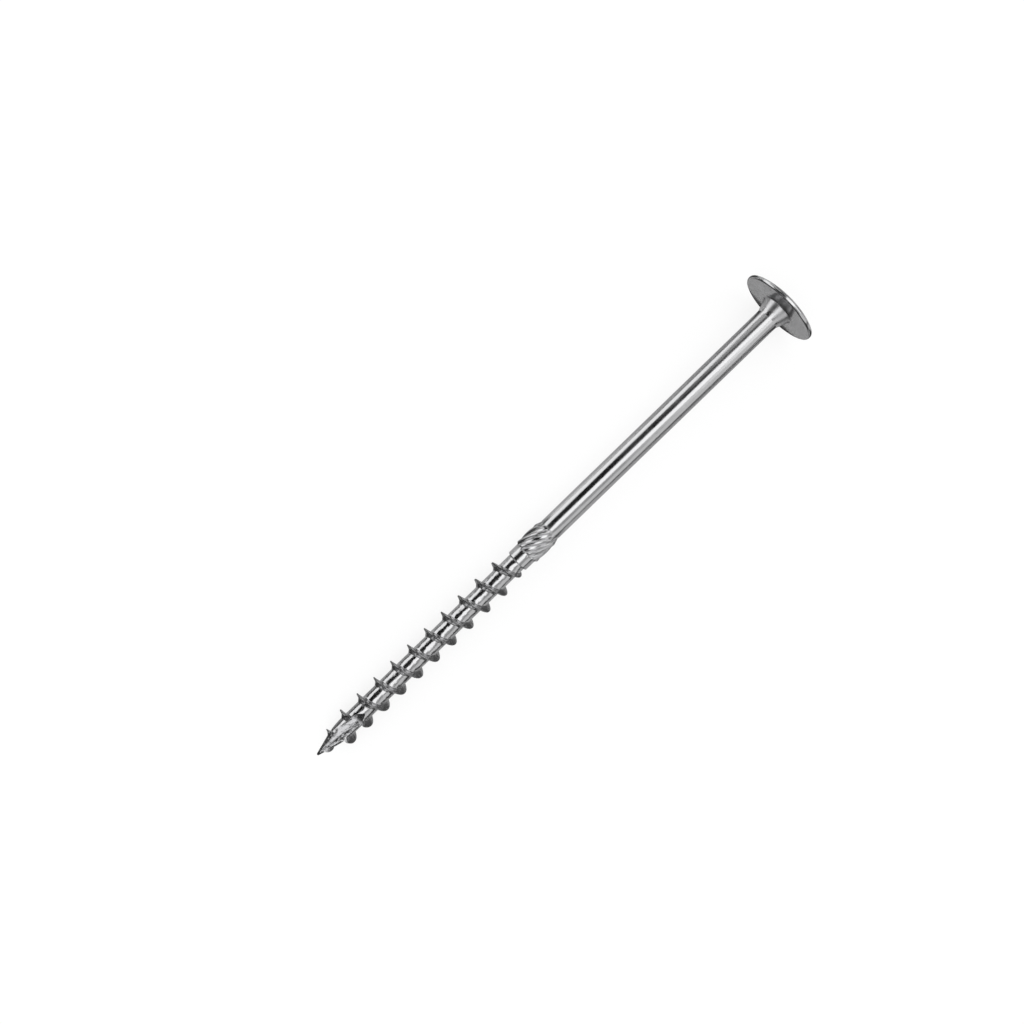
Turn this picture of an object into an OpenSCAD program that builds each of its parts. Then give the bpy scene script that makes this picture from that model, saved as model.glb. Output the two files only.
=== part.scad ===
// Washer-head timber screw with a notched point, a coarse thread and a shank cutter.
// It is one piece of steel: the blank is headed, its thread and cutter are rolled and its point is notched.
// The screw is modelled along its own axis, point at the bottom, and then laid down.
// It lies on the rim of its head and on one crest of its thread, with its head towards +X.
// Angles round the axis are counted from the side that lies on the floor, by the right-hand rule.
// The origin is the centre of the bottom of its bounding box. All lengths are in millimetres.

/* [Overall] */
// Length from the tip of the point to the underside of the head
under_head_l = 160; // [130:1:240]

/* [Head] */
// Diameter of the washer head
head_d = 21; // [19:0.1:24]
// Height of the head at its rim
rim_h = 1.1; // [1:0.05:1.8]
// Height of the head from its underside to its flat top
head_h = 2.3; // [2.1:0.05:3.2]
// Diameter of the flat top round the drive recess
top_d = 9; // [8.4:0.1:11]
// Rounding of the rim's lower edge
rim_lower_r = 0.45; // [0.3:0.05:0.5]
// Rounding of the rim's upper edge
rim_upper_r = 0.4; // [0.2:0.05:0.45]

/* [Drive recess] */
// Diameter across the tips of opposite lobes
drive_d = 6.75; // [6.4:0.05:7]
// Diameter across opposite waists, between the lobes
waist_d = 4.85; // [4.5:0.05:5]
// Radius of each lobe's round tip
lobe_r = 0.55; // [0.45:0.05:0.6]
// Depth of the lobed wall below the flat top
drive_depth = 3.4; // [2.4:0.1:3.8]
// Width of the chamfer round the recess's mouth
mouth_chamfer = 0.3; // [0.1:0.05:0.5]
// Depth of the conical bottom below the lobed wall
drive_cone_h = 0.8; // [0.4:0.1:1]
// Diameter of the flat in the middle of the conical bottom
drive_flat_d = 1.2; // [0.8:0.1:2]

/* [Neck] */
// Diameter of the neck where it meets the head
neck_d = 8.7; // [8:0.1:9.6]
// Length of the neck's taper from the shank to the head
neck_l = 3.5; // [2.5:0.1:6]
// Radius of the hollow between the shank and the neck's taper
neck_blend_r = 1; // [0.5:0.5:6]
// Radius of the hollow between the taper and the head's underside
neck_fillet_r = 0.6; // [0.2:0.1:1.2]

/* [Shank] */
// Diameter of the plain shank
shank_d = 6; // [5.8:0.05:6.2]

/* [Shank cutter] */
// Length of the cutter's ribs along the axis
cutter_l = 8.6; // [6:0.1:14]
// Diameter over the ribs
cutter_d = 7.1; // [6.7:0.05:7.8]
// Diameter between the ribs
cutter_root_d = 5.6; // [5.3:0.05:5.75]
// Number of ribs
ribs = 8; // [5:1:10]
// Length along the axis in which a rib would go once round
rib_lead = 32; // [28:1:80]
// Width of a rib at its crest
rib_crest_w = 0.5; // [0.2:0.05:0.6]
// Width of a rib at its foot
rib_foot_w = 1.5; // [0.8:0.05:1.6]
// Length of the short ramp at the ribs' end nearer the point
rib_front_l = 0.6; // [0.3:0.1:1.5]
// Length of the long ramp at the ribs' end nearer the head
rib_back_l = 2; // [1:0.1:3]

/* [Collar] */
// Diameter of the plain collar between the thread and the cutter
collar_d = 6.1; // [5.8:0.05:6.3]
// Length of the collar
collar_l = 2.8; // [2:0.1:6]
// Length of the steps in diameter at the collar and the cutter
step_l = 0.35; // [0.2:0.05:0.5]

/* [Thread] */
// Length from the tip of the point to the end of the thread
thread_l = 70.7; // [50:0.1:100]
// Diameter over the thread
thread_d = 8.4; // [8:0.05:8.8]
// Diameter of the core between the turns of the thread
core_d = 5; // [4.8:0.05:5.2]
// Distance between neighbouring crests of the thread
pitch = 5.95; // [4.6:0.05:6.6]
// Distance from the tip to the crest that the screw lies on
rest_crest = 10.75; // [9.6:0.05:14]
// Width of the thread's crest
crest_w = 0.3; // [0.2:0.05:0.5]
// Lean of the flank that faces the head
head_flank = 11; // [5:1:20]
// Lean of the upper part of the flank that faces the point
point_flank = 17; // [10:1:30]
// Lean of the same flank near its foot, where it is hollow
foot_flank = 48; // [35:1:55]
// Share of the thread's height that the hollow foot takes up
foot_share = 0.4; // [0.2:0.05:0.6]
// Distance from the tip to where the thread starts
thread_start = 1.5; // [1:0.1:2.5]
// Length in which the thread rises at its start
thread_rise_l = 1.2; // [0.6:0.1:2]
// Distance from the tip to the first crest of full height
full_crest = 9; // [7:0.1:9.4]
// Radius that the line of the rising crests has at the tip
crest_tip_r = 0.4; // [0.3:0.05:0.9]
// Length in which the thread fades out before its end
thread_fade_l = 2.6; // [1:0.1:5]

/* [Point] */
// Radius of the blunt tip
tip_r = 0.35; // [0.2:0.05:0.5]
// Full angle of the point's cone
point_angle = 31; // [26:1:38]
// Radius of the curve between the cone and the core
point_blend_r = 21; // [10:1:30]

/* [Point notch] */
// Distance from the axis to the deepest line of the notch
notch_floor = 0.5; // [0.35:0.05:1]
// Angle between the two walls of the notch
notch_angle = 93; // [70:1:110]
// Length of the straight part of the notch from the tip
notch_l = 13; // [8:0.1:16]
// Radius of the wheel that cuts the notch, which shapes its end
notch_wheel_r = 5; // [5:0.5:14]
// Angle round the screw from the floor to the notch
notch_turn = 180; // [150:1:210]
// Angle between the notch and the screw's axis
notch_skew = 3; // [0:0.5:8]

/* [Hidden] */
$fn = 96;
steel = [0.74, 0.75, 0.77];

// How far a piece that is added reaches into the body, and a tool past it
overlap = 0.15;
// Rings in one turn of the thread, and along one rib
turn_steps = 48;
rib_steps = 10;
// Points along each kind of rounded corner
small_arc = 5;
large_arc = 8;
// Angle from one lobe of the drive to the next
lobe_step = 60;

head_r = head_d / 2;
top_r = top_d / 2;
neck_r = neck_d / 2;
shank_r = shank_d / 2;
cutter_r = cutter_d / 2;
cutter_root_r = cutter_root_d / 2;
collar_r = collar_d / 2;
thread_r = thread_d / 2;
core_r = core_d / 2;
waist_r = waist_d / 2;

// Heights of the parts of the screw above its tip
collar_end = thread_l + collar_l;
cutter_end = collar_end + cutter_l;
neck_start = under_head_l - neck_l;
top_z = under_head_l + head_h;

// The point: a round tip, a cone that touches it, and a curve that touches the cone and the core
cone_lean = point_angle / 2;
cone_from = [tip_r * cos(cone_lean), tip_r - tip_r * sin(cone_lean)];
blend_rise = point_blend_r * sin(cone_lean);
blend_foot_r = core_r - point_blend_r * (1 - cos(cone_lean));
cone_end = cone_from[1] + (blend_foot_r - cone_from[0]) / tan(cone_lean);
point_end = cone_end + blend_rise;

// The neck: a taper with a hollow curve at each end, one touching the shank and one the head
neck_lean = atan((neck_r - shank_r) / neck_l);
neck_blend_l = neck_blend_r * tan(neck_lean / 2);
neck_fillet_l = neck_fillet_r * tan((90 - neck_lean) / 2);

// The head's dome: an arc that touches the flat top and the rounding of the rim's upper edge
dome_w = head_r - rim_upper_r - top_r;
dome_h = head_h - rim_h;
dome_r = (dome_w * dome_w + dome_h * dome_h) / (2 * dome_h) + rim_upper_r;
dome_angle = asin(dome_w / (dome_r - rim_upper_r));

// The lie: the head's rounded rim and the tip-side edge of one crest both touch the floor
rest_drop = head_r - rim_lower_r - thread_r;
rest_run = under_head_l + rim_lower_r - rest_crest + crest_w / 2;
lie_angle = atan2(rest_drop, rest_run) + asin(rim_lower_r / norm([rest_drop, rest_run]));
lie_z = thread_r * cos(lie_angle) - (rest_crest - crest_w / 2) * sin(lie_angle);
lie_x_min = -tip_r * (1 - cos(lie_angle));
lie_x_max = (top_z - dome_r) * cos(lie_angle) + top_r * sin(lie_angle) + dome_r;
lie_x = -(lie_x_min + lie_x_max) / 2;

// Points of an arc round a centre
function arc(centre, r, from, to, steps) =
    [for (i = [0:steps]) let (a = from + (to - from) * i / steps) centre + r * [cos(a), sin(a)]];

// Radius of the core at a height above the tip
function core_at(z) =
    z < cone_from[1] ? cone_from[0]
    : z < cone_end ? cone_from[0] + (z - cone_from[1]) * tan(cone_lean)
    : z < point_end ? core_r - point_blend_r + sqrt(pow(point_blend_r, 2) - pow(point_end - z, 2))
    : core_r;

// Radius of the thread's crest at a height above the tip, below the surface at both its ends
function crest_at(z) =
    let (
        full = z < full_crest ? crest_tip_r + (thread_r - crest_tip_r) * z / full_crest : thread_r,
        rise = min(1, (z - thread_start) / thread_rise_l),
        fade = min(1, (thread_l - z) / thread_fade_l),
        buried = core_at(z) - overlap / 2
    )
    buried + (full - buried) * max(0, min(rise, fade));

// One ring of the thread, at an angle round the screw and a height above its tip
function thread_ring(angle, z) =
    let (
        crest = crest_at(z),
        height = max(crest - core_at(z), 0),
        foot = height * foot_share,
        bend_z = z - crest_w / 2 - (height - foot) * tan(point_flank),
        point_z = bend_z - (foot + overlap) * tan(foot_flank),
        head_z = z + crest_w / 2 + (height + overlap) * tan(head_flank),
        profile = [
            [crest - height + foot, bend_z],
            [crest, z - crest_w / 2],
            [crest, z + crest_w / 2],
            [core_at(head_z) - overlap, head_z],
            [core_at(point_z) - overlap, point_z]
        ]
    )
    [for (p = profile) [p[0] * cos(angle), p[0] * sin(angle), p[1]]];

// Height of a rib above the cutter's root, as a share, at a distance from the rib's front end
function rib_share(along) = max(0, min(1, along / rib_front_l, (cutter_l - along) / rib_back_l));

// One ring of a rib, turned along its lead
function rib_ring(along) =
    let (
        r = cutter_root_r - overlap / 2 + (cutter_r - cutter_root_r + overlap / 2) * rib_share(along),
        foot_r = cutter_root_r - overlap,
        foot = rib_foot_w / 2,
        crest = rib_crest_w / 2,
        turn = 360 * along / rib_lead
    )
    [for (p = [[foot_r, foot], [r, crest], [r, -crest], [foot_r, -foot]])
        [p[0] * cos(turn) - p[1] * sin(turn), p[0] * sin(turn) + p[1] * cos(turn), along]];

// A closed skin over a row of rings that all have the same number of points
module skin(rings) {
    n = len(rings[0]);
    last = len(rings) - 1;
    sides = [
        for (i = [0:last - 1], j = [0:n - 1])
            let (a = i * n + j, b = i * n + (j + 1) % n)
                each [[a, b, b + n], [a, b + n, a + n]]
    ];
    start_cap = [for (j = [1:n - 2]) [0, j + 1, j]];
    end_cap = [for (j = [1:n - 2]) [last * n, last * n + j, last * n + j + 1]];
    polyhedron(points = [for (ring = rings) each ring], faces = concat(sides, start_cap, end_cap));
}

// Everything that is round: point, core, collar, cutter root, shank, neck and head
module turned_body() {
    rotate_extrude()
        polygon(concat(
            arc([0, tip_r], tip_r, -90, -cone_lean, small_arc),
            arc([core_r - point_blend_r, point_end], point_blend_r, -cone_lean, 0, large_arc),
            [
                [core_r, thread_l - step_l],
                [collar_r, thread_l],
                [collar_r, collar_end],
                [cutter_root_r, collar_end + step_l],
                [cutter_root_r, cutter_end - step_l],
                [shank_r, cutter_end]
            ],
            arc([shank_r + neck_blend_r, neck_start - neck_blend_l], neck_blend_r,
                180, 180 - neck_lean, small_arc),
            arc([neck_r + neck_fillet_l, under_head_l - neck_fillet_r], neck_fillet_r,
                180 - neck_lean, 90, small_arc),
            arc([head_r - rim_lower_r, under_head_l + rim_lower_r], rim_lower_r, -90, 0, small_arc),
            arc([head_r - rim_upper_r, under_head_l + rim_h - rim_upper_r], rim_upper_r,
                0, 90 - dome_angle, small_arc),
            arc([top_r, top_z - dome_r], dome_r, 90 - dome_angle, 90, large_arc),
            [[0, top_z]]
        ));
}

// The thread, a right-handed helix that follows the point's taper and fades into the collar
module thread() {
    first = ceil((thread_start - rest_crest) / pitch * turn_steps);
    last = floor((thread_l - rest_crest) / pitch * turn_steps);
    skin([for (i = [first:last]) thread_ring(360 * i / turn_steps, rest_crest + pitch * i / turn_steps)]);
}

// The ribs that ream the hole for the shank
module cutter_ribs() {
    for (i = [0:ribs - 1])
        translate([0, 0, collar_end])
            rotate([0, 0, 360 * i / ribs])
                skin([for (k = [0:rib_steps]) rib_ring(cutter_l * k / rib_steps)]);
}

// The six-lobed outline of the drive recess: round lobes joined by hollow waists that touch them
module drive_outline() {
    lobe_at = drive_d / 2 - lobe_r;
    waist_turn = lobe_step / 2;
    lobe_across = lobe_at * cos(waist_turn);
    hollow_r = (pow(lobe_r, 2) - pow(lobe_at, 2) - pow(waist_r, 2) + 2 * waist_r * lobe_across)
        / (2 * (waist_r - lobe_across - lobe_r));
    hollow_centre = (waist_r + hollow_r) * [cos(waist_turn), sin(waist_turn)];
    lean = atan2(hollow_centre[1], hollow_centre[0] - lobe_at);
    polygon([
        for (turn = [0:lobe_step:360 - lobe_step])
            let (
                lobe = arc([lobe_at, 0], lobe_r, -lean, lean, small_arc),
                hollow = arc(hollow_centre, hollow_r, 180 + lean, 180 + lobe_step - lean, small_arc)
            )
            for (p = concat(lobe, hollow))
                [p[0] * cos(turn) - p[1] * sin(turn), p[0] * sin(turn) + p[1] * cos(turn)]
    ]);
}

// The tool that makes the drive recess
module drive_recess() {
    mouth_r = drive_d / 2 + mouth_chamfer;
    translate([0, 0, top_z - drive_depth])
        linear_extrude(drive_depth + overlap)
            drive_outline();
    translate([0, 0, top_z - drive_depth - drive_cone_h])
        cylinder(h = drive_cone_h + overlap, r1 = drive_flat_d / 2, r2 = waist_r - overlap);
    translate([0, 0, top_z - mouth_chamfer])
        cylinder(h = 2 * mouth_chamfer, r1 = mouth_r - mouth_chamfer, r2 = mouth_r + mouth_chamfer);
}

// The tool that cuts the notch: a straight groove that ends where its wheel lifts out
module point_notch() {
    depth = thread_r - notch_floor + 2 * overlap;
    half_w = depth * tan(notch_angle / 2);
    rotate([0, 0, notch_turn])
        translate([notch_floor, 0, 0])
            rotate([-notch_skew, 0, 0]) {
                translate([0, 0, -tip_r])
                    linear_extrude(notch_l + tip_r)
                        polygon([[0, 0], [depth, -half_w], [depth, half_w]]);
                translate([notch_wheel_r, 0, notch_l])
                    rotate([90, 0, 0])
                        rotate_extrude()
                            polygon([[0, -half_w], [notch_wheel_r - depth, -half_w], [notch_wheel_r, 0],
                                [notch_wheel_r - depth, half_w], [0, half_w]]);
            }
}

// The whole screw, lying as it comes to rest
module screw() {
    color(steel)
        translate([lie_x, 0, lie_z])
            rotate([0, 90 - lie_angle, 0])
                difference() {
                    union() {
                        turned_body();
                        thread();
                        cutter_ribs();
                    }
                    drive_recess();
                    point_notch();
                }
}

screw();
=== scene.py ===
"""A washer-head timber screw that lies on a pale floor: its finished steel, the light and the camera."""
from math import asin, atan2, cos, hypot, pi, radians, sin
from types import SimpleNamespace

import bpy
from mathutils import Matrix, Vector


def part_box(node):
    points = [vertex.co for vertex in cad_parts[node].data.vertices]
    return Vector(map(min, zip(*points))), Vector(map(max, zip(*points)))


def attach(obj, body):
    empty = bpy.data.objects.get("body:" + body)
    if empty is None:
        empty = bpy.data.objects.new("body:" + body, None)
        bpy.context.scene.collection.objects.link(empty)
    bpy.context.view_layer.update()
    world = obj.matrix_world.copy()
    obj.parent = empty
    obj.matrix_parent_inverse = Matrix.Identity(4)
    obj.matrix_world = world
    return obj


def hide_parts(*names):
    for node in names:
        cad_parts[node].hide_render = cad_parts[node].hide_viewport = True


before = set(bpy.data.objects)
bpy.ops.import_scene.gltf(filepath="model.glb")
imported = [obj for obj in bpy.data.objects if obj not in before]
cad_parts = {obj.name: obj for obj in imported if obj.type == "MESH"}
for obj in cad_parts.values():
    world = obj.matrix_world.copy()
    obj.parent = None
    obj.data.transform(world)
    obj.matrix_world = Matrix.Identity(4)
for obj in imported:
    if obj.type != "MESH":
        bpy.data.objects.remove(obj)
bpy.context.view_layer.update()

MM = 0.001

# The screw's sizes in millimetres and degrees, which are the named inputs of its node tree.
# Heights count from the tip along the axis, and angles round it from the side on the floor.
SIZES = {
    "under_head_l": 160.0,
    "head_d": 21.0,
    "rim_h": 1.1,
    "head_h": 2.3,
    "top_d": 9.0,
    "rim_lower_r": 0.45,
    "rim_upper_r": 0.4,
    "drive_d": 6.75,
    "waist_d": 4.85,
    "lobe_r": 0.55,
    "drive_depth": 3.4,
    "mouth_chamfer": 0.3,
    "drive_cone_h": 0.8,
    "drive_cone_d": 4.55,
    "drive_flat_d": 1.2,
    "neck_d": 8.7,
    "neck_l": 3.5,
    "neck_blend_r": 1.0,
    "neck_fillet_r": 0.6,
    "shank_d": 6.0,
    "cutter_l": 8.6,
    "cutter_d": 7.1,
    "cutter_root_d": 5.6,
    "rib_lead": 32.0,
    "rib_crest_w": 0.5,
    "rib_foot_w": 1.5,
    "rib_front_l": 0.6,
    "rib_back_l": 2.0,
    "collar_d": 6.1,
    "collar_l": 2.8,
    "step_l": 0.35,
    "thread_l": 70.7,
    "thread_d": 8.4,
    "core_d": 5.0,
    "pitch": 5.95,
    "rest_crest": 10.75,
    "crest_w": 0.3,
    "crest_edge_r": 0.07,
    "head_flank": 11.0,
    "point_flank": 17.0,
    "foot_flank": 48.0,
    "foot_share": 0.4,
    "foot_fillet_r": 0.5,
    "root_fillet_r": 0.2,
    "thread_start": 1.5,
    "thread_rise_l": 1.2,
    "full_crest": 9.0,
    "crest_tip_r": 0.4,
    "thread_fade_l": 2.6,
    "tip_r": 0.35,
    "point_angle": 31.0,
    "point_blend_r": 21.0,
    "notch_floor": 0.5,
    "notch_angle": 93.0,
    "notch_l": 13.0,
    "notch_wheel_r": 5.0,
    "notch_turn": 180.0,
    "notch_skew": 3.0,
}
ANGLES = ("head_flank", "point_flank", "foot_flank", "point_angle", "notch_angle", "notch_turn",
          "notch_skew")

# Points in every ring round the screw, ribs of its cutter and lobes of its drive
COLUMNS = 192
RIBS = 8
LOBES = 6
# Points closer than this, in millimetres, become one
WELD = 0.001
# Edges that turn more than this stay sharp
SHARP = radians(38)
# Where the thread is low, this many root fillets or crest edges would fill its height
ROOTS_IN_HEIGHT = 3
EDGES_IN_HEIGHT = 6


# Node trees, written as formulas

class Field:
    """The value that a socket gives, with signs for arithmetic, so that a formula reads as one."""

    def __init__(self, tree, socket):
        self.tree = tree
        self.socket = socket

    def __add__(self, other):
        return calc("ADD", self, other)

    def __radd__(self, other):
        return calc("ADD", other, self)

    def __sub__(self, other):
        return calc("SUBTRACT", self, other)

    def __rsub__(self, other):
        return calc("SUBTRACT", other, self)

    def __mul__(self, other):
        return calc("MULTIPLY", self, other)

    def __rmul__(self, other):
        return calc("MULTIPLY", other, self)

    def __truediv__(self, other):
        return calc("DIVIDE", self, other)

    def __rtruediv__(self, other):
        return calc("DIVIDE", other, self)

    def __neg__(self):
        return calc("MULTIPLY", self, -1)


def feed(tree, value, socket):
    """Links a field to a socket, or sets the socket to a plain value."""
    if isinstance(value, Field):
        tree.links.new(value.socket, socket)
    else:
        socket.default_value = value


def add(tree, kind, inputs=None, output=0, **settings):
    """Adds a node with its settings and inputs, and gives one of its outputs."""
    made = tree.nodes.new(kind)
    for name, value in settings.items():
        setattr(made, name, value)
    for name, value in (inputs or {}).items():
        feed(tree, value, made.inputs[name])
    return Field(tree, made.outputs[output])


def calc(operation, *values):
    """A Math node on fields and numbers, of which at least one is a field."""
    tree = next(value.tree for value in values if isinstance(value, Field))
    return add(tree, "ShaderNodeMath", dict(enumerate(values)), operation=operation)


def sine(angle):
    return calc("SINE", angle) if isinstance(angle, Field) else sin(angle)


def cosine(angle):
    return calc("COSINE", angle) if isinstance(angle, Field) else cos(angle)


def tangent(angle):
    return calc("TANGENT", angle)


def root(value):
    return calc("SQRT", value)


def largest(one, other):
    return calc("MAXIMUM", one, other)


def smallest(one, other):
    return calc("MINIMUM", one, other)


def limit(value, low=0, high=1):
    return smallest(largest(value, low), high)


def smooth(share):
    """Eases a share from 0 to 1 in and out."""
    return share * share * (3 - 2 * share)


def either(share, one, other):
    """The one value where share is 1, and the other where it is 0."""
    return other + (one - other) * share


# Profiles that are walked stretch by stretch. A stretch is a number of rows and a path, which
# gives its rise along the axis and its swell away from it for the share of it that is walked.

def line(rise, swell):
    return lambda share: (rise * share, swell * share)


def ease(rise, swell):
    return lambda share: (rise * share, swell * smooth(share))


def arc(radius, begin, end):
    """An arc between two directions from its centre, counted from straight out towards the head."""
    def path(share):
        angle = begin + (end - begin) * share
        return radius * (sine(angle) - sine(begin)), radius * (cosine(angle) - cosine(begin))
    return path


def walk(row, start, stretches):
    """Height along the axis and distance from it at a row of a profile."""
    height, out = start
    first = 0
    for rows, path in stretches:
        rise, swell = path(limit((row - first) / rows))
        height = height + rise
        out = out + swell
        first += rows
    return height, out


def rows_of(stretches):
    return sum(rows for rows, path in stretches)


def skin(tree, rows, columns, place):
    """A grid whose points are placed by a formula of their row and column."""
    grid = add(tree, "GeometryNodeMeshGrid", {"Vertices X": rows + 1, "Vertices Y": columns + 1})
    index = add(tree, "GeometryNodeInputIndex")
    row = calc("FLOOR", index / (columns + 1))
    angle, height, out = place(row, index - row * (columns + 1))
    spot = add(tree, "ShaderNodeCombineXYZ", {"X": out * cosine(angle), "Y": out * sine(angle),
                                              "Z": height})
    placed = add(tree, "GeometryNodeSetPosition", {"Geometry": grid, "Position": spot})
    return add(tree, "GeometryNodeFlipFaces", {"Mesh": placed})


def turned_skin(tree, s, turn, start, stretches):
    """A profile turned round the axis, with its first column at an angle."""
    def place(row, column):
        height, out = walk(row, start, stretches)
        return turn + column * 2 * pi / s.columns, height, out
    return skin(tree, rows_of(stretches), s.columns, place)


# The screw's own formulas

def derive(s):
    """Adds the sizes that follow from the named ones."""
    s.cone_lean = s.point_angle / 2
    s.core_r = s.core_d / 2
    s.shank_r = s.shank_d / 2
    s.collar_r = s.collar_d / 2
    s.thread_r = s.thread_d / 2
    s.cutter_r = s.cutter_d / 2
    s.cutter_root_r = s.cutter_root_d / 2
    s.cone_from_r = s.tip_r * cosine(s.cone_lean)
    s.cone_from_z = s.tip_r - s.tip_r * sine(s.cone_lean)
    blend_from_r = s.core_r - s.point_blend_r * (1 - cosine(s.cone_lean))
    s.cone_end = s.cone_from_z + (blend_from_r - s.cone_from_r) / tangent(s.cone_lean)
    s.point_end = s.cone_end + s.point_blend_r * sine(s.cone_lean)
    s.thread_from = s.thread_start - s.crest_w
    s.thread_to = s.thread_l - s.step_l
    s.collar_end = s.thread_l + s.collar_l
    s.cutter_end = s.collar_end + s.cutter_l
    s.cutter_turn = 2 * pi * s.cutter_l / s.rib_lead
    s.top_z = s.under_head_l + s.head_h
    s.mouth_r = s.drive_d / 2 + s.mouth_chamfer


def core_at(s, height):
    """Distance of the core's surface from the axis at a height."""
    cone = s.cone_from_r + (height - s.cone_from_z) * tangent(s.cone_lean)
    short = largest(s.point_end - height, 0)
    blend = s.core_r - s.point_blend_r + root(s.point_blend_r * s.point_blend_r - short * short)
    return either(calc("LESS_THAN", height, s.cone_end), cone, blend)


def thread_height_at(s, height):
    """How far the thread's crest stands out of the core at a height."""
    growing = s.crest_tip_r + (s.thread_r - s.crest_tip_r) * limit(height / s.full_crest)
    rise = (height - s.thread_start) / s.thread_rise_l
    fade = (s.thread_to - s.crest_w - height) / s.thread_fade_l
    return largest(growing - core_at(s, height), 0) * limit(smallest(rise, fade))


def point_skin(tree, s):
    """The blunt tip and the cone up to where the thread starts."""
    rise = s.thread_from - s.cone_from_z
    return turned_skin(tree, s, 0, (0, 0), [
        (6, arc(s.tip_r, -pi / 2, -s.cone_lean)),
        (2, line(rise, rise * tangent(s.cone_lean))),
    ])


def thread_skin(tree, s):
    """Core and thread as one band that winds round from the point to the collar."""
    first_turn = -calc("CEIL", (s.rest_crest - s.thread_from) / s.pitch + 1)
    last_turn = calc("CEIL", (s.thread_to + s.crest_w - s.rest_crest) / s.pitch)
    rows = (3, 1, 2, 2, 2, 1, 2, 2, 3, 5)
    square = pi / 2

    def reach_back(tall):
        """From the crest's middle to where the thread leaves the core on the point's side."""
        foot = tall * s.foot_share
        lean = (tall - foot) * tangent(s.point_flank) + foot * tangent(s.foot_flank)
        fillet = smallest(s.foot_fillet_r, foot) * tangent((square - s.foot_flank) / 2)
        return s.crest_w / 2 + lean + fillet

    def place(row, column):
        turn = column / s.columns + first_turn
        crest_z = s.rest_crest + s.pitch * turn
        tall = thread_height_at(s, crest_z)
        foot = tall * s.foot_share
        foot_fillet = smallest(s.foot_fillet_r, foot)
        root_fillet = smallest(s.root_fillet_r, tall / ROOTS_IN_HEIGHT)
        edge = smallest(s.crest_edge_r, tall / EDGES_IN_HEIGHT)
        to_foot = foot_fillet * tangent((square - s.foot_flank) / 2)
        to_bend = foot_fillet * tangent((s.foot_flank - s.point_flank) / 2)
        to_point_edge = edge * tangent((square - s.point_flank) / 2)
        to_head_edge = edge * tangent((square - s.head_flank) / 2)
        to_root = root_fillet * tangent((square - s.head_flank) / 2)
        low = foot / cosine(s.foot_flank) - to_foot - to_bend
        high = (tall - foot) / cosine(s.point_flank) - to_bend - to_point_edge
        down = tall / cosine(s.head_flank) - to_head_edge - to_root
        reach_front = s.crest_w / 2 + tall * tangent(s.head_flank) + to_root
        next_back = reach_back(thread_height_at(s, crest_z + s.pitch))
        height, above = walk(row, (crest_z - reach_back(tall), 0), zip(rows, [
            arc(foot_fillet, pi, square + s.foot_flank),
            line(low * sine(s.foot_flank), low * cosine(s.foot_flank)),
            arc(foot_fillet, square + s.foot_flank, square + s.point_flank),
            line(high * sine(s.point_flank), high * cosine(s.point_flank)),
            arc(edge, s.point_flank - square, 0),
            line(s.crest_w - to_point_edge - to_head_edge, 0),
            arc(edge, 0, square - s.head_flank),
            line(down * sine(s.head_flank), -down * cosine(s.head_flank)),
            arc(root_fillet, 3 * square - s.head_flank, pi),
            line(s.pitch - next_back - reach_front, 0),
        ]))
        height = limit(height, s.thread_from, s.thread_to)
        raised = limit(above / largest(foot, WELD))
        out = either(raised, core_at(s, crest_z), core_at(s, height)) + above
        return turn * 2 * pi, height, out

    return skin(tree, sum(rows), (last_turn - first_turn) * s.columns, place)


def collar_skin(tree, s):
    """The step from the core up to the plain collar, and the collar."""
    return turned_skin(tree, s, 0, (s.thread_to, s.core_r), [
        (5, ease(s.step_l, s.collar_r - s.core_r)),
        (4, line(s.collar_l, 0)),
    ])


def cutter_skin(tree, s):
    """The ribs that ream the hole: one rib and its half valleys, repeated round the axis."""
    rows = 36
    # Shares of the columns of half a rib on its crest and on its flank
    crest_share = 0.25
    flank_share = 0.5

    def place(row, column):
        along = s.cutter_l * row / rows
        across = column * s.ribs / s.columns * 2 - 1
        away = calc("ABSOLUTE", across)
        on_flank = limit((away - crest_share) / flank_share)
        in_valley = limit((away - crest_share - flank_share) / (1 - crest_share - flank_share))
        standing = limit(smallest(along / s.rib_front_l, (s.cutter_l - along) / s.rib_back_l))
        crest_half = s.rib_crest_w / s.cutter_d
        foot_half = s.rib_foot_w / s.cutter_root_d
        sector_half = pi / s.ribs
        shaped = (crest_half * limit(away / crest_share) + (foot_half - crest_half) * on_flank
                  + (sector_half - foot_half) * in_valley)
        angle = either(standing, shaped, sector_half * away) * calc("SIGN", across)
        valley = (s.cutter_root_r
                  + (s.collar_r - s.cutter_root_r) * smooth(limit(1 - along / s.step_l))
                  + (s.shank_r - s.cutter_root_r) * smooth(limit(1 - (s.cutter_l - along) / s.step_l)))
        crest = s.cutter_root_r + (s.cutter_r - s.cutter_root_r) * standing
        out = valley + largest(crest - valley, 0) * (1 - smooth(on_flank))
        return s.cutter_turn * row / rows + angle, s.collar_end + along, out

    sector = skin(tree, rows, s.columns / s.ribs, place)
    points = add(tree, "GeometryNodeMeshLine", {"Count": s.ribs, "Offset": (0, 0, 0)})
    rib = add(tree, "GeometryNodeInputIndex")
    turn = add(tree, "ShaderNodeCombineXYZ", {"Z": rib * 2 * pi / s.ribs})
    ring = add(tree, "GeometryNodeInstanceOnPoints", {"Points": points, "Instance": sector,
                                                      "Rotation": turn})
    return add(tree, "GeometryNodeRealizeInstances", {"Geometry": ring})


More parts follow.
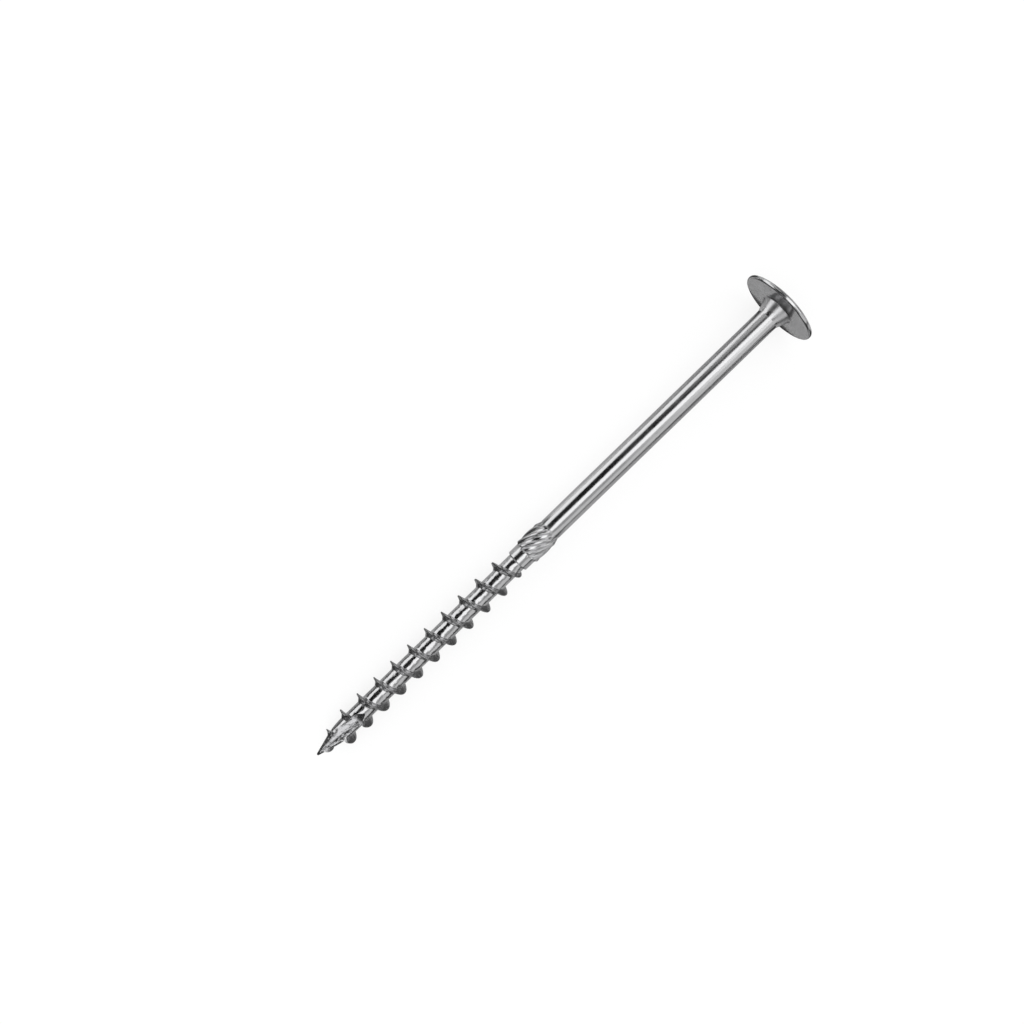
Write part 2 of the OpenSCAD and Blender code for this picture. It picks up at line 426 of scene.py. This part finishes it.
def head_skin(tree, s):
    """Plain shank, neck, washer head and the flat top up to the mouth of the drive."""
    head_r = s.head_d / 2
    neck_r = s.neck_d / 2
    neck_lean = calc("ARCTANGENT", (neck_r - s.shank_r) / s.neck_l)
    blend = s.neck_blend_r * tangent(neck_lean / 2)
    fillet = s.neck_fillet_r * tangent((pi / 2 - neck_lean) / 2)
    taper = s.neck_l / cosine(neck_lean) - blend - fillet
    dome_w = head_r - s.rim_upper_r - s.top_d / 2
    dome_h = s.head_h - s.rim_h
    dome_r = (dome_w * dome_w + dome_h * dome_h) / (2 * dome_h) + s.rim_upper_r
    dome_lean = calc("ARCSINE", dome_w / (dome_r - s.rim_upper_r))
    return turned_skin(tree, s, s.cutter_turn, (s.cutter_end, s.shank_r), [
        (24, line(s.under_head_l - s.neck_l - blend - s.cutter_end, 0)),
        (8, arc(s.neck_blend_r, pi, pi - neck_lean)),
        (4, line(taper * cosine(neck_lean), taper * sine(neck_lean))),
        (5, arc(s.neck_fillet_r, pi - neck_lean, pi / 2)),
        (8, line(0, head_r - s.rim_lower_r - neck_r - fillet)),
        (7, arc(s.rim_lower_r, -pi / 2, 0)),
        (1, line(s.rim_h - s.rim_lower_r - s.rim_upper_r, 0)),
        (6, arc(s.rim_upper_r, 0, pi / 2 - dome_lean)),
        (16, arc(dome_r, pi / 2 - dome_lean, pi / 2)),
        (3, line(0, s.mouth_r - s.top_d / 2)),
    ])


def lobed(s, angle):
    """Distance from the axis to the drive's wall: round lobes joined by hollows that touch them."""
    waist_r = s.waist_d / 2
    lobe_at = s.drive_d / 2 - s.lobe_r
    step = 2 * pi / LOBES
    across = lobe_at * cos(step / 2)
    hollow_r = ((s.lobe_r * s.lobe_r - lobe_at * lobe_at - waist_r * waist_r + 2 * waist_r * across)
                / (2 * (waist_r - across - s.lobe_r)))
    hollow_at = waist_r + hollow_r
    lean = calc("ARCTAN2", hollow_at * sin(step / 2), hollow_at * cos(step / 2) - lobe_at)
    meet = calc("ARCTAN2", s.lobe_r * sine(lean), lobe_at + s.lobe_r * cosine(lean))
    off_lobe = calc("PINGPONG", angle, step / 2)
    off_waist = step / 2 - off_lobe
    lobe_side = lobe_at * sine(off_lobe)
    hollow_side = hollow_at * sine(off_waist)
    lobe = lobe_at * cosine(off_lobe) + root(s.lobe_r * s.lobe_r - lobe_side * lobe_side)
    hollow = hollow_at * cosine(off_waist) - root(hollow_r * hollow_r - hollow_side * hollow_side)
    return either(calc("LESS_THAN", off_lobe, meet), lobe, hollow)


def drive_skin(tree, s):
    """The chamfered mouth, the lobed wall and the coned bottom of the drive."""
    rows = (2, 6, 2, 4, 1)

    def place(row, column):
        angle = s.cutter_turn + column * 2 * pi / s.columns
        wall = lobed(s, angle)
        chamfer = s.mouth_r - wall
        cone_r = s.drive_cone_d / 2
        flat_r = s.drive_flat_d / 2
        height, out = walk(row, (s.top_z, s.mouth_r), zip(rows, [
            line(-chamfer, -chamfer),
            line(chamfer - s.drive_depth, 0),
            line(0, cone_r - wall),
            line(-s.drive_cone_h, flat_r - cone_r),
            line(0, -flat_r),
        ]))
        return angle, height, out

    return skin(tree, sum(rows), s.columns, place)


def notch_tool(tree, s):
    """The groove cut along the point: a V drawn along a straight path that a wheel ends."""
    depth = s.thread_r
    half_w = depth * tangent(s.notch_angle / 2)
    corners = 3
    corner_step = 2 * pi / corners
    # Rows of the closed start, of the straight run, of the wheel's swing and of the closed end
    steps = 24
    rows = 1 + 1 + steps + 1

    def section(row, column):
        run = limit(row - 1)
        swing = limit((row - 2) / steps) * pi / 2
        corner = column * corner_step
        inward = depth * (1 - cosine(corner)) / (1 - cos(corner_step))
        side = half_w * sine(corner) / sin(corner_step)
        open_row = smallest(limit(row), limit(rows - row))
        inward = either(open_row, inward, depth / 2)
        side = side * open_row
        height = run * (s.notch_l + 2 * s.tip_r) - 2 * s.tip_r
        out = s.notch_wheel_r * (1 - cosine(swing)) + inward * cosine(swing)
        return out, side, height + (s.notch_wheel_r - inward) * sine(swing)

    grid = add(tree, "GeometryNodeMeshGrid", {"Vertices X": rows + 1, "Vertices Y": corners + 1})
    index = add(tree, "GeometryNodeInputIndex")
    row = calc("FLOOR", index / (corners + 1))
    out, side, height = section(row, index - row * (corners + 1))
    spot = add(tree, "ShaderNodeCombineXYZ", {"X": out, "Y": side, "Z": height})
    tool = add(tree, "GeometryNodeSetPosition", {"Geometry": grid, "Position": spot})
    tool = add(tree, "GeometryNodeMergeByDistance", {"Geometry": tool, "Distance": WELD})
    lean = add(tree, "ShaderNodeCombineXYZ", {"X": -s.notch_skew})
    shift = add(tree, "ShaderNodeCombineXYZ", {"X": s.notch_floor})
    tool = add(tree, "GeometryNodeTransform", {"Geometry": tool, "Translation": shift, "Rotation": lean})
    turn = add(tree, "ShaderNodeCombineXYZ", {"Z": s.notch_turn})
    return add(tree, "GeometryNodeTransform", {"Geometry": tool, "Rotation": turn})


def screw_tree(material):
    """The node tree that makes the whole screw and lays it down."""
    tree = bpy.data.node_groups.new("Timber screw", "GeometryNodeTree")
    tree.interface.new_socket("Geometry", in_out="OUTPUT", socket_type="NodeSocketGeometry")
    placing = {"lie_angle": 0.0, "tip_x": 0.0, "tip_z": 0.0}
    counts = {"columns": COLUMNS, "ribs": RIBS}
    for kind, values in (("NodeSocketFloat", SIZES | placing), ("NodeSocketInt", counts)):
        for name, value in values.items():
            tree.interface.new_socket(name, in_out="INPUT", socket_type=kind).default_value = value
    inputs = tree.nodes.new("NodeGroupInput").outputs
    s = SimpleNamespace(**{socket.name: Field(tree, socket) for socket in inputs if socket.name})
    for name in ANGLES:
        setattr(s, name, calc("RADIANS", getattr(s, name)))
    derive(s)

    join = tree.nodes.new("GeometryNodeJoinGeometry")
    for part in (point_skin, thread_skin, collar_skin, cutter_skin, head_skin, drive_skin):
        tree.links.new(part(tree, s).socket, join.inputs[0])
    joined = Field(tree, join.outputs[0])
    body = add(tree, "GeometryNodeMergeByDistance", {"Geometry": joined, "Distance": WELD})
    body = add(tree, "GeometryNodeMeshBoolean", {"Mesh 1": body, "Mesh 2": notch_tool(tree, s)},
               operation="DIFFERENCE", solver="MANIFOLD")
    body = add(tree, "GeometryNodeSetShadeSmooth", {"Geometry": body, "Shade Smooth": True},
               domain="FACE")
    flat_enough = calc("LESS_THAN", add(tree, "GeometryNodeInputMeshEdgeAngle"), SHARP)
    body = add(tree, "GeometryNodeSetShadeSmooth", {"Geometry": body, "Shade Smooth": flat_enough},
               domain="EDGE")

    lean = add(tree, "ShaderNodeCombineXYZ", {"Y": pi / 2 - s.lie_angle})
    place = add(tree, "ShaderNodeCombineXYZ", {"X": s.tip_x, "Z": s.tip_z})
    body = add(tree, "GeometryNodeTransform", {"Geometry": body, "Translation": place, "Rotation": lean,
                                               "Scale": (MM, MM, MM)})
    body = add(tree, "GeometryNodeRealizeInstances", {"Geometry": body})
    body = add(tree, "GeometryNodeSetMaterial", {"Geometry": body, "Material": material})
    tree.links.new(body.socket, tree.nodes.new("NodeGroupOutput").inputs[0])
    return tree


def how_it_lies(size):
    """The angle at which the screw rests on its head's rim and one crest, and where its tip then is."""
    thread_r = size["thread_d"] / 2
    rim_r = size["rim_lower_r"]
    contact = size["rest_crest"] - size["crest_w"] / 2
    drop = size["head_d"] / 2 - rim_r - thread_r
    run = size["under_head_l"] + rim_r - contact
    angle = atan2(drop, run) + asin(rim_r / hypot(drop, run))
    lowest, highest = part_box("screw")
    tip_x = lowest.x + size["tip_r"] * (1 - cos(angle)) * MM
    tip_z = lowest.z + (thread_r * cos(angle) - contact * sin(angle)) * MM
    return angle, tip_x, tip_z


def made_by(tree, name, values):
    """A plain mesh object made by a node tree whose inputs are set to the values."""
    piece = bpy.data.objects.new(name, bpy.data.meshes.new(name))
    bpy.context.scene.collection.objects.link(piece)
    modifier = piece.modifiers.new(tree.name, "NODES")
    modifier.node_group = tree
    for item in tree.interface.items_tree:
        if item.in_out == "INPUT" and item.name in values:
            modifier[item.identifier] = values[item.name]
    evaluated = piece.evaluated_get(bpy.context.evaluated_depsgraph_get())
    mesh = bpy.data.meshes.new_from_object(evaluated)
    mesh.name = name
    piece.modifiers.clear()
    piece.data = mesh
    return piece


# Materials

# The steel's grey as a share of white, and how much clouds, lines and the head change it, and how
# much painted shade darkens the thread's flanks and its crests
PLATED_GREY = 0.76
CLOUD_GREY = 0.05
HEAD_CLOUD_GREY = 0.08
HEAD_SHADE = 0.04
LINE_GREY = 0.03
FLANK_PAINTED_SHADE = 0.15
CREST_PAINTED_SHADE = 0.2
# How much more blue than red it has
BLUE_CAST = 1.012
# Its roughness, and how much clouds, lines, crests and the forged neck change it
PLATED_ROUGHNESS = 0.17
CLOUD_ROUGHNESS = 0.05
LINE_ROUGHNESS = 0.05
CREST_ROUGHNESS = 0.2
NECK_ROUGHNESS = 0.14
# Heights of its waves everywhere and on the thread, and of its lines, as shares of the bump
WAVE_HEIGHT = 0.5
THREAD_WAVE_HEIGHT = 12
LINE_HEIGHT = 0.12
BUMP_STRENGTH = 0.25
BUMP_M = 0.00006
# In millimetres: where a flank's painted shade begins and is full above the core, where a crest's
# painted shade and roughness begin and are full below the top of the thread, and over how much the
# thread's finish ends
FLANK_FROM = 0.3
FLANK_FULL = 0.9
CREST_FROM = 0.3
CREST_FULL = 0.1
THREAD_FADE = 0.5
# In millimetres: where the head's finish is full below the head, and how far out the neck's fades
HEAD_FULL = 2
NECK_FADE = 0.3
# Values of the noise between which a cloud goes from clear to full
CLOUD_CLEAR = 0.35
CLOUD_FULL = 0.65


def new_material(name):
    """A material with an empty node tree."""
    material = bpy.data.materials.new(name)
    material.use_nodes = True
    material.node_tree.nodes.clear()
    return material, material.node_tree


def shader_group(name, inputs, outputs):
    """An empty shader node group with named number and vector sockets, and its inputs as fields."""
    group = bpy.data.node_groups.new(name, "ShaderNodeTree")
    for label, kind, value in inputs:
        socket = group.interface.new_socket(label, in_out="INPUT", socket_type=kind)
        if value is not None:
            socket.default_value = value
    for label, kind in outputs:
        group.interface.new_socket(label, in_out="OUTPUT", socket_type=kind)
    given = group.nodes.new("NodeGroupInput").outputs
    return group, SimpleNamespace(**{label: Field(group, given[label]) for label, kind, value in inputs})


def put_out(group, **values):
    """Feeds a group's outputs."""
    out = group.nodes.new("NodeGroupOutput")
    for label, value in values.items():
        feed(group, value, out.inputs[label])


def use_group(tree, group, **inputs):
    """Places a group with its own values, and gives its outputs by name."""
    placed = tree.nodes.new("ShaderNodeGroup")
    placed.node_tree = group
    for label, value in inputs.items():
        feed(tree, value, placed.inputs[label])
    return {socket.name: Field(tree, socket) for socket in placed.outputs}


def ramp_of(value, low, high):
    """Runs from 0 to 1 as the value goes from low to high."""
    return limit((value - low) / (high - low))


def streaks_group():
    """Fine uneven lines along the third axis of the place that it is given."""
    group, g = shader_group("Fine streaks", [
        ("Place", "NodeSocketVector", None),
        ("Lines_per_mm", "NodeSocketFloat", 5.0),
        ("Length_mm", "NodeSocketFloat", 20.0),
    ], [("Height", "NodeSocketFloat")])
    across = add(group, "ShaderNodeCombineXYZ", {"X": g.Lines_per_mm, "Y": g.Lines_per_mm,
                                                 "Z": 1 / g.Length_mm})
    stretched = add(group, "ShaderNodeVectorMath", {0: g.Place, 1: across}, operation="MULTIPLY")
    lines = add(group, "ShaderNodeTexNoise", {"Vector": stretched, "Scale": 1.0, "Detail": 2.0,
                                              "Roughness": 0.6})
    put_out(group, Height=lines)
    return group


def plating_group():
    """The slight waves and the cloudy patches of a zinc coat."""
    group, g = shader_group("Zinc coat", [
        ("Place", "NodeSocketVector", None),
        ("Wave_mm", "NodeSocketFloat", 1.6),
        ("Cloud_mm", "NodeSocketFloat", 5.0),
    ], [("Height", "NodeSocketFloat"), ("Cloud", "NodeSocketFloat")])
    waves = add(group, "ShaderNodeTexNoise", {"Vector": g.Place, "Scale": 1 / g.Wave_mm,
                                              "Detail": 1.5, "Roughness": 0.4})
    clouds = add(group, "ShaderNodeTexNoise", {"Vector": g.Place, "Scale": 1 / g.Cloud_mm,
                                               "Detail": 4.0, "Roughness": 0.6})
    put_out(group, Height=waves, Cloud=ramp_of(clouds, CLOUD_CLEAR, CLOUD_FULL))
    return group


def steel_material(lie_angle, tip_x, tip_z):
    """Bright zinc-plated steel, drawn along the shank and rolled round the thread, with painted shade on
    the thread's flanks and crests.
    """
    material, tree = new_material("Zinc-plated steel")
    coordinates = add(tree, "ShaderNodeTexCoord", output="Object")

    # Millimetres along and across the screw's own axis, from its tip
    mapping = tree.nodes.new("ShaderNodeMapping")
    mapping.vector_type = "TEXTURE"
    tree.links.new(coordinates.socket, mapping.inputs["Vector"])
    mapping.inputs["Location"].default_value = (tip_x, 0, tip_z)
    mapping.inputs["Rotation"].default_value = (0, pi / 2 - lie_angle, 0)
    mapping.inputs["Scale"].default_value = (MM, MM, MM)
    place = Field(tree, mapping.outputs[0])
    parts = tree.nodes.new("ShaderNodeSeparateXYZ")
    tree.links.new(place.socket, parts.inputs[0])
    x, y, z = (Field(tree, parts.outputs[k]) for k in range(3))
    out = root(x * x + y * y)
    turn = calc("ARCTAN2", y, x) / (2 * pi)

    # Along the thread's profile, so that the lines of rolling wind with it
    phase = (z / SIZES["pitch"] - turn) * 2 * pi
    wound = add(tree, "ShaderNodeCombineXYZ", {"X": cosine(phase) * SIZES["pitch"] / (2 * pi),
                                               "Y": sine(phase) * SIZES["pitch"] / (2 * pi), "Z": z})
    streaks = streaks_group()
    coat = use_group(tree, plating_group(), Place=place)
    drawn = use_group(tree, streaks, Place=place, Lines_per_mm=4.0, Length_mm=40.0)["Height"]
    rolled = use_group(tree, streaks, Place=wound, Lines_per_mm=5.0, Length_mm=30.0)["Height"]

    # Where each finish and each painted shade is, from 0 to 1
    core_r = SIZES["core_d"] / 2
    thread_r = SIZES["thread_d"] / 2
    neck_r = SIZES["neck_d"] / 2
    head_z = SIZES["under_head_l"]
    on_thread = ramp_of(z, SIZES["thread_l"], SIZES["thread_l"] - THREAD_FADE)
    on_head = ramp_of(z, head_z - SIZES["neck_l"], head_z - HEAD_FULL)
    on_neck = on_head * ramp_of(out, neck_r + NECK_FADE, neck_r)
    # Masks of the painted shade on the thread's flanks, and of the painted shade and roughness on its
    # crests
    on_flank = ramp_of(out, core_r + FLANK_FROM, core_r + FLANK_FULL) * on_thread
    crest_roughness_and_painted_shade = ramp_of(out, thread_r - CREST_FROM, thread_r - CREST_FULL) * on_thread
    lines = either(on_thread, rolled, drawn) * (1 - on_head)

    # Painted shade: the grey is made darker on the thread's flanks and crests
    grey = (PLATED_GREY + coat["Cloud"] * (CLOUD_GREY + HEAD_CLOUD_GREY * on_head)
            - HEAD_SHADE * on_head + lines * LINE_GREY - on_flank * FLANK_PAINTED_SHADE
            - crest_roughness_and_painted_shade * CREST_PAINTED_SHADE)
    roughness = (PLATED_ROUGHNESS + coat["Cloud"] * CLOUD_ROUGHNESS + (lines - 0.5) * LINE_ROUGHNESS
                 + crest_roughness_and_painted_shade * CREST_ROUGHNESS + on_neck * NECK_ROUGHNESS)
    height = coat["Height"] * (WAVE_HEIGHT + THREAD_WAVE_HEIGHT * on_thread) + lines * LINE_HEIGHT

    shader = tree.nodes.new("ShaderNodeBsdfPrincipled")
    shader.inputs["Metallic"].default_value = 1.0
    colour = add(tree, "ShaderNodeCombineColor", {"Red": grey, "Green": grey, "Blue": grey * BLUE_CAST})
    bump = add(tree, "ShaderNodeBump", {"Strength": BUMP_STRENGTH, "Distance": BUMP_M, "Height": height})
    feed(tree, colour, shader.inputs["Base Color"])
    feed(tree, roughness, shader.inputs["Roughness"])
    feed(tree, bump, shader.inputs["Normal"])
    tree.links.new(shader.outputs[0], tree.nodes.new("ShaderNodeOutputMaterial").inputs[0])
    return material


# The studio, in metres and degrees. All but its floor only shows in the steel.

# Half the floor's width, its grey, and how much of its white doesn't depend on the light on it
FLOOR_HALF = 4.0
FLOOR_GREY = 0.9
FLOOR_GLOW = 0.78
# Light that the world casts on matt things
WORLD_LIGHT = 1.0
# Power per square metre of lamp at which it shines as bright as white
LAMP_POWER = pi
# Radius of the arch of soft boxes and cards over the screw, and of the dark backing behind it
REACH = 0.5
BACKING_REACH = 0.56
BACKING_SIDE = 90
BACKING_STEP = 30
BACKING_FROM_X = -0.35
# Where strips of the arch meet, counted from straight above towards -Y. Left is the side of +Y.
LEFT_FOOT = -89
LEFT_BEND = -64
LEFT_TOP = -51
PAST_LEFT_TOP = -50
FLAG_MIDDLE = -28
TOP_LEFT = -8
TOP_RIGHT = 25
RIGHT_TOP = 49
RIGHT_FOOT = 83
# Where strips of the arch begin past the point, change near the head and end past it
ARCH_FROM_X = -0.34
GREY_TO_X = 0.03
FLAG_TO_X = 0.08
LEFT_TO_X = 0.17
BRIGHT_FROM_X = 0.19
LIGHT_TO_X = 0.24
ABOVE_HEAD_X = 0.25
ARCH_TO_X = 0.46
# The tent's half width, foot and height, and the height at which cards lie on the floor
TENT_HALF = 0.7
TENT_FOOT = -0.01
TENT_H = 0.65
CARD_Z = 1e-5
# Where the cards on the floor meet: beside the screw, under its head and past it
CARDS_MEET_Y = 0.035
HEAD_X = 0.078
SHADE_TO_X = 0.09
# Height of the slats on the floor, the step from one to the next and where they begin
SLAT_H = 0.0004
SLAT_STEP = 0.0004
SLATS_FROM_X = -0.3
# The camera's lens in millimetres, its place and its turn round its line of sight
LENS = 35.1
SENSOR_W = 36
NEAREST = 0.01
CAMERA_PLACE = (-0.003, 0.00975, 0.2565)
CAMERA_TURN = radians(-44.17)


def floor_material():
    """A pale floor that shows as white and keeps the object's shadow."""
    material, tree = new_material("Pale floor")
    path = tree.nodes.new("ShaderNodeLightPath").outputs
    seen = limit(Field(tree, path["Is Camera Ray"]) + Field(tree, path["Is Glossy Ray"])
                 + Field(tree, path["Is Transmission Ray"]))
    matt = tree.nodes.new("ShaderNodeBsdfDiffuse")
    matt.inputs["Color"].default_value = (FLOOR_GREY, FLOOR_GREY, FLOOR_GREY, 1)
    glow = tree.nodes.new("ShaderNodeEmission")
    mix = tree.nodes.new("ShaderNodeMixShader")
    feed(tree, seen * FLOOR_GLOW, mix.inputs[0])
    tree.links.new(matt.outputs[0], mix.inputs[1])
    tree.links.new(glow.outputs[0], mix.inputs[2])
    tree.links.new(mix.outputs[0], tree.nodes.new("ShaderNodeOutputMaterial").inputs[0])
    return material


def card_material(level, end_level=None, from_x=0, to_x=1):
    """A studio card of one grey, or of a grey that changes along X, whatever light falls on it."""
    material, tree = new_material("Studio card")
    glow = tree.nodes.new("ShaderNodeEmission")
    if end_level is None:
        glow.inputs["Color"].default_value = (level, level, level, 1)
    else:
        place = add(tree, "ShaderNodeSeparateXYZ", {0: add(tree, "ShaderNodeTexCoord", output="Object")})
        grey = either(smooth(ramp_of(place, from_x, to_x)), end_level, level)
        feed(tree, grey, glow.inputs["Color"])
    tree.links.new(glow.outputs[0], tree.nodes.new("ShaderNodeOutputMaterial").inputs[0])
    return material


def slat_material(head_side, point_side):
    """Slats with a grey of its own on the side towards the head and on the side towards the point."""
    material, tree = new_material("Slats")
    glow = tree.nodes.new("ShaderNodeEmission")
    behind = add(tree, "ShaderNodeNewGeometry", output="Backfacing")
    feed(tree, either(behind, point_side, head_side), glow.inputs["Strength"])
    tree.links.new(glow.outputs[0], tree.nodes.new("ShaderNodeOutputMaterial").inputs[0])
    return material


def link_object(name, data):
    made = bpy.data.objects.new(name, data)
    bpy.context.scene.collection.objects.link(made)
    return made


def stage_mesh(name, corners, faces, material):
    """A mesh of the stage."""
    mesh = bpy.data.meshes.new(name)
    mesh.from_pydata(corners, [], faces)
    mesh.materials.append(material)
    made = link_object(name, mesh)
    return made


def patch(name, corners, material):
    """A flat four-cornered piece of the stage."""
    return stage_mesh(name, corners, [(0, 1, 2, 3)], material)


def glossy_only(made):
    """Hides a piece of the stage from all but reflections."""
    made.visible_camera = False
    made.visible_diffuse = False
    made.visible_shadow = False
    made.visible_transmission = False
    made.visible_volume_scatter = False


def on_arch(angle, reach=REACH):
    """Sideways place and height on an arch over the screw, at degrees from straight above towards -Y."""
    return -reach * sin(radians(angle)), reach * cos(radians(angle))


def soft_box(name, first, last, from_x, to_x, level):
    """A soft box that fills the arch between two angles and shines with a level of brightness."""
    light = bpy.data.lights.new(name, "AREA")
    light.shape = "RECTANGLE"
    light.size = to_x - from_x
    light.size_y = 2 * REACH * sin(radians(last - first) / 2)
    light.energy = level * LAMP_POWER * light.size * light.size_y
    lamp = link_object(name, light)
    middle = (first + last) / 2
    y, z = on_arch(middle)
    lamp.location = ((from_x + to_x) / 2, y, z)
    lamp.rotation_euler = (radians(middle), 0, 0)
    lamp.visible_camera = False


def card(name, first, last, from_x, to_x, level, end_level=None, reach=REACH):
    """A card between two angles of the arch, of one grey or of a grey that changes along X."""
    (y0, z0), (y1, z1) = on_arch(first, reach), on_arch(last, reach)
    corners = [(from_x, y0, z0), (to_x, y0, z0), (to_x, y1, z1), (from_x, y1, z1)]
    glossy_only(patch(name, corners, card_material(level, end_level, from_x, to_x)))


def ground_card(name, from_x, to_x, from_y, to_y, level):
    """A card on the floor."""
    corners = [(from_x, from_y, CARD_Z), (to_x, from_y, CARD_Z), (to_x, to_y, CARD_Z),
               (from_x, to_y, CARD_Z)]
    glossy_only(patch(name, corners, card_material(level)))


def end_card(name, x, from_y, to_y, height, level):
    """An upright card across the screw's line."""
    corners = [(x, from_y, 0), (x, to_y, 0), (x, to_y, height), (x, from_y, height)]
    glossy_only(patch(name, corners, card_material(level)))


def floor_slats(head_side, point_side):
    """Low dark slats across the ground cards, which hide them from flat looks along X."""
    corners = []
    faces = []
    for k in range(round((HEAD_X - SLATS_FROM_X) / SLAT_STEP)):
        x = HEAD_X - k * SLAT_STEP
        faces.append(tuple(range(len(corners), len(corners) + 4)))
        corners += [(x, -TENT_HALF, CARD_Z), (x, TENT_HALF, CARD_Z), (x, TENT_HALF, SLAT_H),
                    (x, -TENT_HALF, SLAT_H)]
    glossy_only(stage_mesh("Floor slats", corners, faces, slat_material(head_side, point_side)))


def pale_tent(level):
    """Pale cloth round it all."""
    sides = (-TENT_HALF, TENT_HALF)
    corners = [(x, y, z) for x in sides for y in sides for z in (TENT_FOOT, TENT_H)]
    faces = [(0, 1, 3, 2), (4, 6, 7, 5), (0, 4, 5, 1), (2, 3, 7, 6), (1, 5, 7, 3)]
    glossy_only(stage_mesh("Pale tent", corners, faces, card_material(level)))


def white_world():
    """A plain white world."""
    world = bpy.data.worlds.new("Studio")
    bpy.context.scene.world = world
    world.use_nodes = True
    tree = world.node_tree
    tree.nodes.clear()
    background = tree.nodes.new("ShaderNodeBackground")
    background.inputs["Color"].default_value = (1, 1, 1, 1)
    background.inputs["Strength"].default_value = WORLD_LIGHT
    tree.links.new(background.outputs[0], tree.nodes.new("ShaderNodeOutputWorld").inputs[0])


def floor_and_cards():
    """The floor, and what the steel sees low down and past its ends."""
    patch("Floor", [(-FLOOR_HALF, -FLOOR_HALF, 0), (FLOOR_HALF, -FLOOR_HALF, 0),
                    (FLOOR_HALF, FLOOR_HALF, 0), (-FLOOR_HALF, FLOOR_HALF, 0)], floor_material())
    ground_card("Grey card", -TENT_HALF, HEAD_X, -TENT_HALF, CARDS_MEET_Y, level=0.42)
    ground_card("Bright card", -TENT_HALF, HEAD_X, CARDS_MEET_Y, TENT_HALF, level=0.9)
    ground_card("Shade past the head", HEAD_X, SHADE_TO_X, -TENT_HALF, TENT_HALF, level=0.05)
    ground_card("Card past the head", SHADE_TO_X, TENT_HALF, -TENT_HALF, TENT_HALF, level=0.45)
    floor_slats(head_side=0.035, point_side=0.085)
    end_card("Dark card past the point", x=-0.35, from_y=-0.34, to_y=0.34, height=0.31, level=0.035)
    end_card("Grey card past the head", x=0.47, from_y=-0.4, to_y=-0.03, height=0.12, level=0.28)
    end_card("Dark card past the head", x=0.48, from_y=-0.4, to_y=0.4, height=0.3, level=0.03)


def arch_of_light():
    """The soft boxes over the screw, the cards between them and the dark backing behind."""
    for angle in range(-BACKING_SIDE, BACKING_SIDE, BACKING_STEP):
        card("Dark backing", angle, angle + BACKING_STEP, BACKING_FROM_X, ARCH_TO_X, level=0.03,
             reach=BACKING_REACH)

    soft_box("Left soft box", LEFT_FOOT, LEFT_TOP, ARCH_FROM_X, LEFT_TO_X, level=0.95)
    soft_box("Left soft box at the head", LEFT_FOOT, LEFT_BEND, LEFT_TO_X, ABOVE_HEAD_X, level=0.95)
    soft_box("Top soft box", TOP_LEFT, TOP_RIGHT, ARCH_FROM_X, ABOVE_HEAD_X, level=1.12)
    soft_box("Right soft box", RIGHT_TOP, RIGHT_FOOT, ARCH_FROM_X, ABOVE_HEAD_X, level=0.55)

    card("Grey strip", TOP_RIGHT, RIGHT_TOP, ARCH_FROM_X, GREY_TO_X, level=0.3)
    card("Grey strip near the head", TOP_RIGHT, RIGHT_TOP, GREY_TO_X, BRIGHT_FROM_X, level=0.3,
         end_level=1.0)
    card("Bright strip at the head", TOP_RIGHT, RIGHT_TOP, BRIGHT_FROM_X, ABOVE_HEAD_X, level=1.0)
    card("Black flag", LEFT_TOP, TOP_LEFT, ARCH_FROM_X, FLAG_TO_X, level=0.0)
    card("Dark strip at the head", LEFT_BEND, LEFT_TOP, LEFT_TO_X, ABOVE_HEAD_X, level=0.25,
         end_level=0.1)
    card("Light strip near the head", LEFT_TOP, FLAG_MIDDLE, FLAG_TO_X, LIGHT_TO_X, level=0.0,
         end_level=0.6)
    card("Dark strip near the head", FLAG_MIDDLE, TOP_LEFT, FLAG_TO_X, ABOVE_HEAD_X, level=0.0,
         end_level=0.16)
    card("Left strip past the head", LEFT_FOOT, PAST_LEFT_TOP, ABOVE_HEAD_X, ARCH_TO_X, level=0.8)
    card("Top strip past the head", TOP_LEFT, TOP_RIGHT, ABOVE_HEAD_X, ARCH_TO_X, level=0.9)
    card("Right strip past the head", RIGHT_TOP, RIGHT_FOOT, ABOVE_HEAD_X, ARCH_TO_X, level=0.5)


def seat_camera():
    """The photo's view, from above the screw."""
    camera = bpy.data.cameras.new("Camera")
    camera.lens = LENS
    camera.sensor_width = SENSOR_W
    camera.clip_start = NEAREST
    seat = link_object("Camera", camera)
    seat.location = CAMERA_PLACE
    seat.rotation_euler = (0, 0, CAMERA_TURN)
    bpy.context.scene.camera = seat


bpy.context.scene.view_settings.view_transform = "Standard"
lie_angle, tip_x, tip_z = how_it_lies(SIZES)
placing = {"lie_angle": lie_angle, "tip_x": tip_x, "tip_z": tip_z}
screw = made_by(screw_tree(steel_material(**placing)), "timber_screw", SIZES | placing)
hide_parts("screw")
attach(screw, "root")

white_world()
floor_and_cards()
arch_of_light()
pale_tent(level=0.5)
seat_camera()
